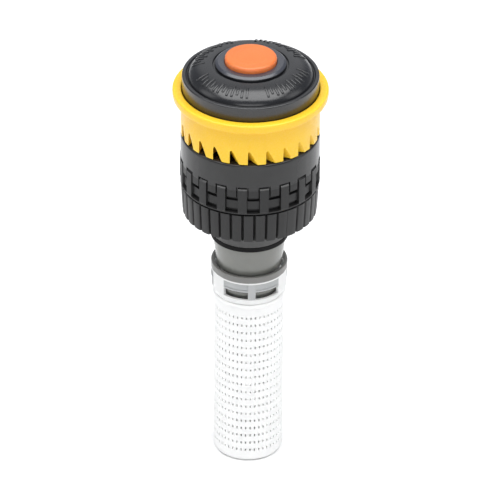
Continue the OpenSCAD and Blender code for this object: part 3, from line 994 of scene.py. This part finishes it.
@dataclass
class Base:
    """Knurled skirt with a riser thread inside it, and the neck that passes down the riser."""

    paint: Paint
    steps: int = 36
    first_groove: float = 4.0
    plain_step: int = 3
    groove: float = 0.52
    taper: float = 0.3
    skirt: float = 5.55
    neck_show: float = 4.3
    neck: float = 6.75
    neck_in: float = 5.6
    throat: float = 5.2
    boss: float = 9.0
    thread_minor: float = 7.45
    thread_major: float = 7.95
    thread_pitch: float = 25.4 / 28
    thread_length: float = 7.5
    size: Span = measured("nozzle_base")

    def knurl(self) -> tuple[np.ndarray, np.ndarray]:
        """Columns of the knurl.

        Returns:
            Angle of each column, and its depth below the pads' crests.
        """
        pitch = 360 / self.steps
        ramp_line = [(0.0, 1.0), (0.04, 0.86), (0.09, 0.30), (0.14, 0.10), (0.5, 0.0), (0.82, 0.04),
                     (0.90, 0.20), (0.95, 0.62), (0.98, 0.95)]
        angle, depth = [], []
        for k in range(self.steps):
            for p, d in ramp_line:
                joined = (k == self.plain_step and p < 0.5) or (k == self.plain_step - 1 and p > 0.9)
                angle.append(self.first_groove + (k + p) * pitch)
                depth.append(0.03 if joined else d * self.groove)
        return np.array(angle), np.array(depth)

    def build(self) -> Piece:
        """Skins the base from the neck's end, through the thread, over the knurl, to the throat.

        Returns:
            The piece.
        """
        angle, depth = self.knurl()
        ones = np.ones(len(angle))
        low = self.size.low
        foot = low + self.neck_show
        seat = foot + self.thread_length
        crest = foot + self.skirt
        roof = self.size.high
        radius, height = [], []

        def add(r: np.ndarray | float, z: float) -> None:
            """Adds one ring.

            Args:
                r: Its radius, or the radius of each column.
                z: Its height.
            """
            radius.append(r * ones)
            height.append(z * ones)

        inside = fillet([(self.neck_in, low, 0.1), (self.neck, low, 0.15), (self.neck, seat, 0.1),
                         (self.thread_major, seat, 0.1), (self.thread_major, seat - 0.7)], steps=3)
        for r, z in inside:
            add(r, z)
        for z in np.arange(seat - 0.8, foot + 0.62, -self.thread_pitch / 7):
            turn = (z / self.thread_pitch - angle / 360) % 1
            ridge = np.clip((np.abs(turn - 0.5) * 2 - 0.12) / 0.62, 0, 1)
            fade = ramp(np.array([z]), foot + 0.4, foot + 1.0)[0]
            add(self.thread_major - (self.thread_major - self.thread_minor) * ridge * fade, z)
        add(self.thread_major, foot + 0.5)
        add(self.thread_major + 0.15, foot)
        wall = self.size.radius - 0.1
        add(wall - self.taper - 0.9, foot)
        add(wall - self.taper - 0.16 - depth, foot)
        add(wall - self.taper - 0.03 - depth, foot + 0.05)
        add(wall - self.taper - depth, foot + 0.16)
        for t in (0.3, 0.6, 0.85):
            add(wall - self.taper * (1 - t) - depth, foot + self.skirt * t)
        add(wall - 0.04 - depth, crest - 0.14)
        add(wall - 0.06 - depth, crest - 0.12)
        add(wall - 0.9, crest - 0.12)
        add(wall - 1.1, crest)
        upper = fillet([(self.boss, crest, 0.1), (self.boss, roof - 1.3), (self.boss - 0.5, roof - 1.1, 0.1),
                        (self.boss - 0.5, roof - 0.7, 0.1), (self.boss, roof - 0.5), (self.boss, roof, 0.12),
                        (self.throat, roof, 0.2), (self.throat, low + 7.8), (self.neck_in, low + 7.8),
                        (self.neck_in, low + 0.2)], steps=3)
        for r, z in upper:
            add(r, z)
        across_rows = np.tile(angle, (len(radius), 1))
        piece = rings("base_knurled", np.array(radius), np.array(height), across_rows, crease=34.0)
        # The neck under the knurl gets its painted floor reflection from this finish's bands.
        return settle(self.paint.dress(piece, NECK_BLACK), Body.HOUSING, "matte_black_plastic", "nozzle_base")


@dataclass
class Inlet:
    """Tapered grey inlet, with a four-legged spider in its top that guides the shaft."""

    paint: Paint
    shoulder_r: float = 6.37
    low_r: float = 5.72
    tail_r: float = 5.3
    bead: float = 0.45
    spigot_r: float = 5.57
    bore: float = 4.5
    hub_eye: float = 1.29
    hub_cup: float = 2.99
    hub_rim: float = 3.88
    leg_ends: tuple[float, float] = (3.6, 4.6)
    size: Span = measured("inlet")
    gasket: Span = measured("neck_gasket")
    filter_size: Span = measured("filter_collar")

    def build(self) -> Piece:
        """Turns the tube and adds the spider.

        Returns:
            The piece.
        """
        low, top, shoulder, rim = self.size.low, self.size.high, self.gasket.low, self.filter_size.high
        tail, bead = self.tail_r, self.tail_r + self.bead
        section = fillet([
            (self.bore, low, 0.1), (tail, low, 0.2), (tail, low + 0.8), (bead, low + 1.1),
            (bead, low + 1.7, 0.1), (tail, low + 1.7, 0.05), (tail, rim - 1, 0.2),
            (self.low_r, rim - 0.4, 0.3), (self.shoulder_r - 0.08, shoulder - 1.1),
            (self.shoulder_r, shoulder, 0.3),
            (self.spigot_r, shoulder, 0.05), (self.spigot_r, top, 0.12), (self.bore, top, 0.08),
        ], closed=True, steps=4)
        tube = turned("inlet_tube", section, steps=200)
        piece = merged("inlet_tapered", [tube, *self._spider(top)])
        return settle(self.paint.dress(piece, GREY), Body.HOUSING, "grey_plastic", "inlet")

    def _spider(self, top: float) -> list[Piece]:
        """Builds the spider's hub and legs.

        Args:
            top: Height of the spider's top.

        Returns:
            The hub and four legs.
        """
        eye, cup, rim = self.hub_eye, self.hub_cup, self.hub_rim
        hub = turned("spider_hub", fillet([
            (eye, top - 2, 0.05), (rim, top - 2, 0.12), (rim, top, 0.12), (cup, top, 0.1),
            (cup, top - 1.2, 0.05), (eye, top - 1.2, 0.05)], closed=True, steps=3), steps=96)
        outline = [(-0.5, -1.9), (-0.42, -2.0), (0.42, -2.0), (0.5, -1.9), (0.5, -0.1), (0.42, 0), (-0.42, 0),
                   (-0.5, -0.1)]
        sides = [(i, (i + 1) % 8, 8 + (i + 1) % 8, 8 + i) for i in range(8)]
        faces = [*sides, tuple(range(8)), tuple(range(15, 7, -1))]
        legs = []
        for k in range(4):
            turn = math.radians(45 + 90 * k)
            along, across = math.cos(turn), math.sin(turn)
            rows = [(reach * along - x * across, reach * across + x * along, top + z)
                    for reach in self.leg_ends for x, z in outline]
            legs.append(solid_from(f"spider_leg_{k}", np.array(rows), faces))
        return [hub, *legs]


# ---- Filter ----


@dataclass
class FilterCollar:
    """Push-fit collar of the filter, with three pairs of windows under a thin web."""

    paint: Paint
    pairs: int = 3
    bar: float = 11.6
    window: float = 40.2
    phase: float = 4.3
    window_low: float = 1.3
    window_height: float = 1.65
    hoop_low: float = 3.2
    hoop_height: float = 1.3
    hoop_depth: float = 0.2
    inner: float = 6.12
    size: Span = measured("filter_collar")

    def build(self) -> Piece:
        """Makes the pierced wall.

        Returns:
            The piece.
        """
        low, top, r = self.size.low, self.size.high, self.size.radius
        inner_top = r - 0.53
        near, far = self.bar / 2, self.bar / 2 + self.window
        stops = [0.0, near - 0.9, near - 0.3, near, near + 0.4, *np.linspace(near + 5, far - 5, 5),
                 far - 0.4, far, far + 0.3, far + 0.9, 180 / self.pairs]
        side = np.array([-s for s in stops[:0:-1]] + stops[:-1])
        angle = np.concatenate([side + self.phase + k * 360 / self.pairs for k in range(self.pairs)])
        away = np.tile(np.abs(side), self.pairs)
        w0, w1 = low + self.window_low, low + self.window_low + self.window_height
        h0, h1 = low + self.hoop_low, low + self.hoop_low + self.hoop_height
        inner = self.inner
        levels = [(low, r - 0.62, 5.5), (low + 0.1, r - 0.5, 5.53), (low + 0.3, r - 0.34, 5.6),
                  (w0 - 0.1, r - 0.12, inner - 0.02), (w0, r - 0.08, inner), (w0 + 0.08, r - 0.05, inner),
                  *((z, r, inner) for z in (w1 - 0.08, w1, h0, h0 + 0.06)),
                  *((z, r, inner_top) for z in (h1 - 0.6, h1 - 0.3, h1 - 0.06, h1, top - 0.5)),
                  (top - 0.12, r, inner_top + 0.01), (top - 0.03, r - 0.03, inner_top + 0.04),
                  (top, r - 0.12, inner_top + 0.12)]
        beside = ramp(away, near - 0.3, near + 0.4) * (1 - ramp(away, far - 4.9, far + 0.3))
        outside = np.zeros((len(levels), len(angle), 2))
        inside = np.zeros_like(outside)
        for i, (z, out, within) in enumerate(levels):
            sunk = self.hoop_depth * beside if h0 < z < h1 else 0.0
            outside[i, :, 0], outside[i, :, 1] = out - sunk, z
            inside[i, :, 0], inside[i, :, 1] = within, z
        middle = [(levels[i][0] + levels[i + 1][0]) / 2 for i in range(len(levels) - 1)]
        gap = np.array([w0 < z < w1 for z in middle])
        ahead = np.roll(away, -1)
        between = (np.minimum(away, ahead) >= near - 1e-6) & (np.maximum(away, ahead) <= far + 1e-6)
        solid = ~(gap[:, None] & between[None, :])
        piece = pierced("filter_collar_pierced", outside, inside, angle, solid)
        self.paint.dress(piece, COLLAR)
        self._paint_web_shade(piece, w0, h1)
        return settle(piece, Body.FILTER, "natural_plastic", "filter_collar")

    def _paint_web_shade(self, piece: Piece, low: float, high: float) -> None:
        """Paints the webs above the windows and the narrow bars grey: painted shade that stands for the grey
        tail seen through them in the dark inside of the collar.

        Args:
            piece: The collar.
            low: Height at which the narrow bars start.
            high: Height at which the webs end.
        """
        piece.data.materials.append(self.paint.of(WEB_SHADE))
        pitch = 360 / self.pairs
        for face in piece.data.polygons:
            x, y, z = face.center / MM
            off = (math.degrees(math.atan2(x, -y)) - self.phase + pitch / 2) % pitch - pitch / 2
            web = abs(off) < self.bar / 2 + self.window and z > low + self.window_height
            if low < z < high and (web or abs(off) < self.bar / 2):
                face.material_index = 1


@dataclass
class FilterScreen:
    """Fine cup-shaped screen with a closed foot."""

    paint: Paint
    columns: int = 48
    rows: int = 19
    wall: float = 0.45
    bar: float = 0.54
    cross_bar: float = 1.05
    first_row: float = 2.2
    flange: float = 0.6
    foot_round: float = 0.87
    floor: float = 1.2
    size: Span = measured("filter_screen")

    def build(self) -> Piece:
        """Makes the mesh wall, its flange and its foot.

        Returns:
            The piece.
        """
        r, low, top = self.size.radius - 0.3, self.size.low, self.size.high
        pitch = 360 / self.columns
        bar = math.degrees(self.bar / r)
        side = np.array([0.0, bar / 2, bar, bar + (pitch - bar) / 2])
        angle = (side[None, :] + np.arange(self.columns)[:, None] * pitch - bar / 2).ravel()
        open_column = np.tile([False, False, True, True], self.columns)
        last = top - self.flange - 0.9
        step = (last - self.first_row - low) / self.rows
        foot_r = r - self.foot_round
        levels = [(low + z, x, min(x - 0.2, r - self.wall))
                  for x, z in bow(foot_r, self.foot_round, self.foot_round, -90, 0, 6)]
        holes = [False] * len(levels)
        for k in range(self.rows):
            z = low + self.first_row + k * step
            levels += [(z, r, r - self.wall), (z + step - self.cross_bar, r, r - self.wall)]
            holes += [True, False]
        levels += [(last, r, r - self.wall), (top - self.flange - 0.25, r, r - self.wall),
                   (top - self.flange, r + 0.24, r - self.wall),
                   (top - self.flange + 0.08, r + 0.3, r - self.wall), (top - 0.2, r + 0.3, r - self.wall),
                   (top - 0.02, r + 0.08, r - self.wall)]
        holes += [False] * 5
        outer = np.zeros((len(levels), len(angle), 2))
        inner = np.zeros_like(outer)
        for i, (z, out, within) in enumerate(levels):
            outer[i, :, 0], outer[i, :, 1] = out, z
            inner[i, :, 0], inner[i, :, 1] = within, max(z, low + self.floor)
        solid = ~(np.array(holes)[:, None] & open_column[None, :])
        wall = pierced("screen_wall", outer, inner, angle, solid[: len(levels) - 1])
        floor = low + self.floor
        foot = turned("screen_foot", [(0, low), (foot_r, low), (foot_r, floor), (0, floor)], steps=len(angle),
                      closed=False)
        piece = merged("filter_screen_mesh", [wall, foot])
        return settle(self.paint.dress(piece, NATURAL), Body.FILTER, "natural_plastic", "filter_screen")


# ---- Studio ----


@dataclass
class Studio:
    """Pale floor, soft light and the camera."""

    elevation: float = 32.0
    distance: float = 0.9643
    aim: Triple = (0.00012, 0.0, 0.04058)
    lens: float = 396.4
    roll: float = 0.46
    floor_half: float = 3.0

    def build(self) -> None:
        """Sets up the floor, the lights and the camera."""
        self._floor()
        self._sky()
        self._area("overhead", (0.0, -0.12, 1.15), (1.9, 1.2), 26.0)
        self._area("front", (0.0, -1.1, 0.30), (0.9, 0.5), 2.4)
        self._area("left", (-0.95, -0.1, 0.45), (0.5, 0.5), 0.9)
        self._area("right", (0.95, -0.1, 0.45), (0.5, 0.5), 0.9)
        self._camera()
        log.info("studio: floor, four lights and the camera")

    def _floor(self) -> None:
        """Lays a plain pale floor under the filter's foot."""
        mesh = bpy.data.meshes.new("floor")
        work = bmesh.new()
        bmesh.ops.create_grid(work, x_segments=8, y_segments=8, size=self.floor_half)
        work.to_mesh(mesh)
        work.free()
        floor = bpy.data.objects.new("floor", mesh)
        bpy.context.scene.collection.objects.link(floor)
        pale = Finish("pale_floor", (0.86, 0.86, 0.86), (0.855, 0.855, 0.855), 0.75, patch=6.0, grain=900,
                      grain_depth=0.0)
        mesh.materials.append(pale.make())

    @staticmethod
    def _sky() -> None:
        """Fills the room with soft light, with a bright patch of wall high at the back."""
        world = bpy.data.worlds.new("room")
        bpy.context.scene.world = world
        world.use_nodes = True
        tree = world.node_tree
        sky = tree.nodes["Background"]
        sky.inputs["Strength"].default_value = 1.0
        where = tree.nodes.new("ShaderNodeTexCoord")
        toward = tree.nodes.new("ShaderNodeVectorMath")
        toward.operation = "DOT_PRODUCT"
        toward.inputs[1].default_value = (0.0, 0.83, 0.56)
        tree.links.new(where.outputs["Generated"], toward.inputs[0])
        level = remap(tree, toward.outputs["Value"], 0.84, 0.97)
        level.interpolation_type = "SMOOTHSTEP"
        wall = tree.nodes.new("ShaderNodeValToRGB")
        wall.color_ramp.elements[0].color = (0.22, 0.23, 0.25, 1.0)
        wall.color_ramp.elements[1].color = (0.66, 0.67, 0.69, 1.0)
        tree.links.new(level.outputs["Result"], wall.inputs["Fac"])
        tree.links.new(wall.outputs["Color"], sky.inputs["Color"])
        bpy.context.scene.view_settings.view_transform = "Standard"

    def _area(self, name: str, spot: Triple, size: tuple[float, float], power: float) -> None:
        """Hangs one soft rectangular light that faces the nozzle.

        Args:
            name: Name of the light.
            spot: Where it hangs, in metres.
            size: Its width and depth in metres.
            power: Its power in watts.
        """
        lamp = bpy.data.lights.new(name, "AREA")
        lamp.shape = "RECTANGLE"
        lamp.size, lamp.size_y = size
        lamp.energy = power
        obj = bpy.data.objects.new(name, lamp)
        obj.location = spot
        obj.rotation_euler = (Vector(self.aim) - Vector(spot)).to_track_quat("-Z", "Y").to_euler()
        bpy.context.scene.collection.objects.link(obj)

    def _camera(self) -> None:
        """Stands the camera in front of the nozzle and above it."""
        up = math.radians(self.elevation)
        back = Vector((0.0, -math.cos(up), math.sin(up)))
        lens = bpy.data.cameras.new("camera")
        lens.lens = self.lens
        lens.sensor_width = 36.0
        lens.dof.use_dof = False
        camera = bpy.data.objects.new("camera", lens)
        camera.location = Vector(self.aim) + back * self.distance
        turn = (-back).to_track_quat("-Z", "Y").to_matrix()
        camera.rotation_euler = (turn @ Matrix.Rotation(math.radians(self.roll), 3, "Z")).to_euler()
        bpy.context.scene.collection.objects.link(camera)
        bpy.context.scene.camera = camera


def main() -> None:
    """Builds every piece in order, dresses the solids that stay, and sets up the studio."""
    logging.basicConfig(level=logging.INFO, format="%(name)s: %(message)s")
    Studio().build()
    paint = Paint()
    Button(paint).build()
    Cap(paint).build()
    Deflector(paint).build()
    RadiusRing(paint).build()
    Base(paint).build()
    Inlet(paint).build()
    FilterCollar(paint).build()
    FilterScreen(paint).build()
    for node, finish in NODE_FINISH.items():
        paint.dress_node(node, finish)
        log.info("%s: kept, %s", node, finish.name)


if __name__ == "__main__":
    main()
